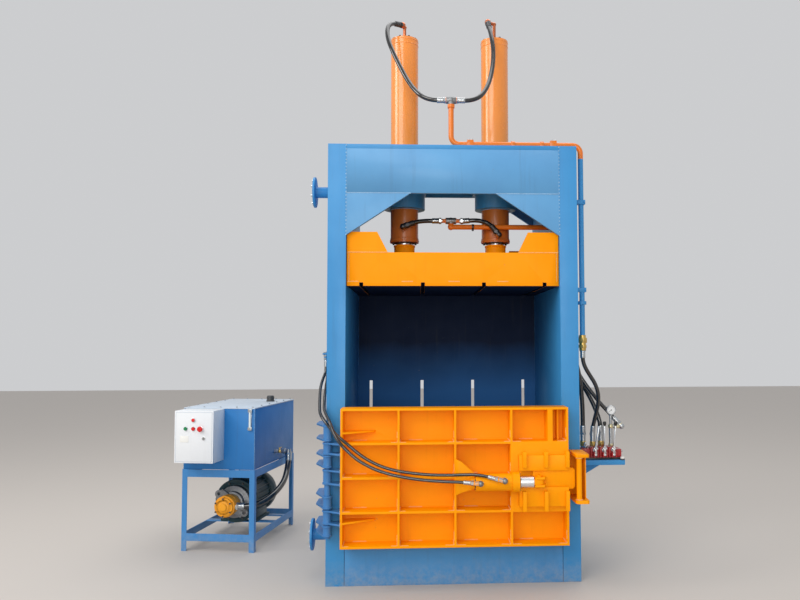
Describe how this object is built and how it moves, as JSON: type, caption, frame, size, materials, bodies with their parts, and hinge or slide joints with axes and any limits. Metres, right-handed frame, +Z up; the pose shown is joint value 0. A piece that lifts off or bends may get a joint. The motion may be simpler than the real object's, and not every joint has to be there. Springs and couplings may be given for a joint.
{
  "type": "recycling baler",
  "caption": "Upright hydraulic baler with a platen on twin cylinders, a bolted swing door, strap slots, a hand valve block and a free-standing power unit with cabinet.",
  "frame": {"origin": "on the floor, under the middle of the press frame", "axes": "+Z up, the door faces -Y, +X to the right when facing the door"},
  "size_m": [3.2455, 2.1044, 3.9624],
  "materials": {
    "blue_paint": "semi-gloss enamel",
    "orange_paint": "semi-gloss enamel",
    "cylinder_paint": "semi-gloss enamel",
    "pipe_paint": "semi-gloss enamel",
    "pump_paint": "gloss enamel",
    "valve_paint": "semi-gloss enamel",
    "motor_paint": "satin enamel",
    "cabinet_paint": "powder coat",
    "lid_paint": "satin",
    "chrome": "polished",
    "zinc": "zinc plated",
    "cast_metal": "as cast",
    "hose_rubber": "smooth outer cover",
    "dial_white": "white dial",
    "gauge_plastic": "white housing",
    "red_plastic": "gloss",
    "green_plastic": "gloss",
    "black_plastic": "satin"
  },
  "bodies": {
    "root": {"base_frame": "blue_paint", "side_wall_left": "blue_paint", "side_wall_right": "blue_paint", "rear_wall": "blue_paint", "top_beam": "blue_paint", "corner_gussets": "blue_paint", "crosshead": "blue_paint", "side_stubs": "blue_paint", "frame_hinge_lugs": "blue_paint", "hinge_pin": "zinc", "bolt_keeper": "orange_paint", "cylinder_barrel_left": "cylinder_paint", "cylinder_barrel_right": "cylinder_paint", "top_pipe": "pipe_paint", "side_pipe": "blue_paint", "inner_pipe": "pipe_paint", "pipe_clips": "orange_paint", "valve_shelf": "blue_paint", "valve_block": "valve_paint", "valve_fittings": "zinc", "pressure_gauge": "dial_white", "unit_stand": "blue_paint", "oil_tank": "blue_paint", "tank_lid": "lid_paint", "level_gauge": "gauge_plastic", "tank_fittings": "zinc", "motor": "motor_paint", "bell_housing": "cast_metal", "pump": "pump_paint", "cabinet_box": "cabinet_paint", "hose_top_left": "hose_rubber", "hose_top_right": "hose_rubber", "hose_inner_left": "hose_rubber", "hose_inner_right": "hose_rubber", "hose_suction": "hose_rubber", "hose_valve_front": "hose_rubber", "hose_valve_middle": "hose_rubber", "hose_valve_rear": "hose_rubber", "hose_valve_return": "hose_rubber"},
    "platen": {"platen": "orange_paint", "piston_rods": "chrome"},
    "door": {"door_panel": "orange_paint", "door_hinge_lugs": "blue_paint", "bolt_guides": "orange_paint", "lock_barrel": "orange_paint", "hose_door_upper": "hose_rubber", "hose_door_lower": "hose_rubber"},
    "bolt": {"bolt_plate": "orange_paint", "lock_rod": "chrome", "clevis_pin": "zinc"},
    "lever_front": {"lever_front": "zinc"},
    "lever_middle": {"lever_middle": "zinc"},
    "lever_rear": {"lever_rear": "zinc"},
    "cabinet_door": {"cabinet_door": "cabinet_paint", "pilot_lamp": "red_plastic"},
    "start_button": {"start_button": "green_plastic"},
    "stop_button": {"stop_button": "red_plastic"},
    "mushroom_button": {"mushroom_button": "red_plastic"},
    "cabinet_lock": {"cabinet_lock": "zinc"},
    "filler_cap": {"filler_cap": "black_plastic"}
  },
  "joints": [
    {"name": "platen_stroke", "type": "slide", "parent": "root", "child": "platen", "axis": [0, 0, -1], "range_m": [0, 1.3]},
    {"name": "door_swing", "type": "hinge", "parent": "root", "child": "door", "pos_m": [-0.8135, -0.662, 0.709], "axis": [0, 0, 1], "range_deg": [-110, 0], "deforming": ["hose_door_upper", "hose_door_lower"]},
    {"name": "bolt_slide", "type": "slide", "parent": "door", "child": "bolt", "axis": [1, 0, 0], "range_m": [-0.04, 0.058]},
    {"name": "lever_front_tilt", "type": "hinge", "parent": "root", "child": "lever_front", "pos_m": [0.996, -0.344, 0.78], "axis": [1, 0, 0], "range_deg": [-10, 12], "stiffness_Nm_per_rad": 8},
    {"name": "lever_middle_tilt", "type": "hinge", "parent": "root", "child": "lever_middle", "pos_m": [1.06, -0.344, 0.78], "axis": [1, 0, 0], "range_deg": [-10, 12], "stiffness_Nm_per_rad": 8},
    {"name": "lever_rear_tilt", "type": "hinge", "parent": "root", "child": "lever_rear", "pos_m": [1.124, -0.344, 0.78], "axis": [1, 0, 0], "range_deg": [-10, 12], "stiffness_Nm_per_rad": 8},
    {"name": "cabinet_door_swing", "type": "hinge", "parent": "root", "child": "cabinet_door", "pos_m": [-2.01994, 0.14206, 0.875], "axis": [0, 0, 1], "range_deg": [-100, 0]},
    {"name": "start_press", "type": "slide", "parent": "cabinet_door", "child": "start_button", "axis": [0.1649, 0.9863, 0], "range_m": [0, 0.004], "stiffness_N_per_m": 600},
    {"name": "stop_press", "type": "slide", "parent": "cabinet_door", "child": "stop_button", "axis": [0.1649, 0.9863, 0], "range_m": [0, 0.004], "stiffness_N_per_m": 600},
    {"name": "mushroom_press", "type": "slide", "parent": "cabinet_door", "child": "mushroom_button", "axis": [0.1649, 0.9863, 0], "range_m": [0, 0.006], "stiffness_N_per_m": 800},
    {"name": "cabinet_lock_turn", "type": "hinge", "parent": "cabinet_door", "child": "cabinet_lock", "pos_m": [-1.7993, 0.08515, 0.865], "axis": [0.1649, 0.9863, 0], "range_deg": [0, 90]},
    {"name": "filler_cap_turn", "type": "hinge", "parent": "root", "child": "filler_cap", "pos_m": [-1.47095, 0.86671, 1.073], "axis": [0, 0, 1], "range_deg": [0, 90]}
  ]
}
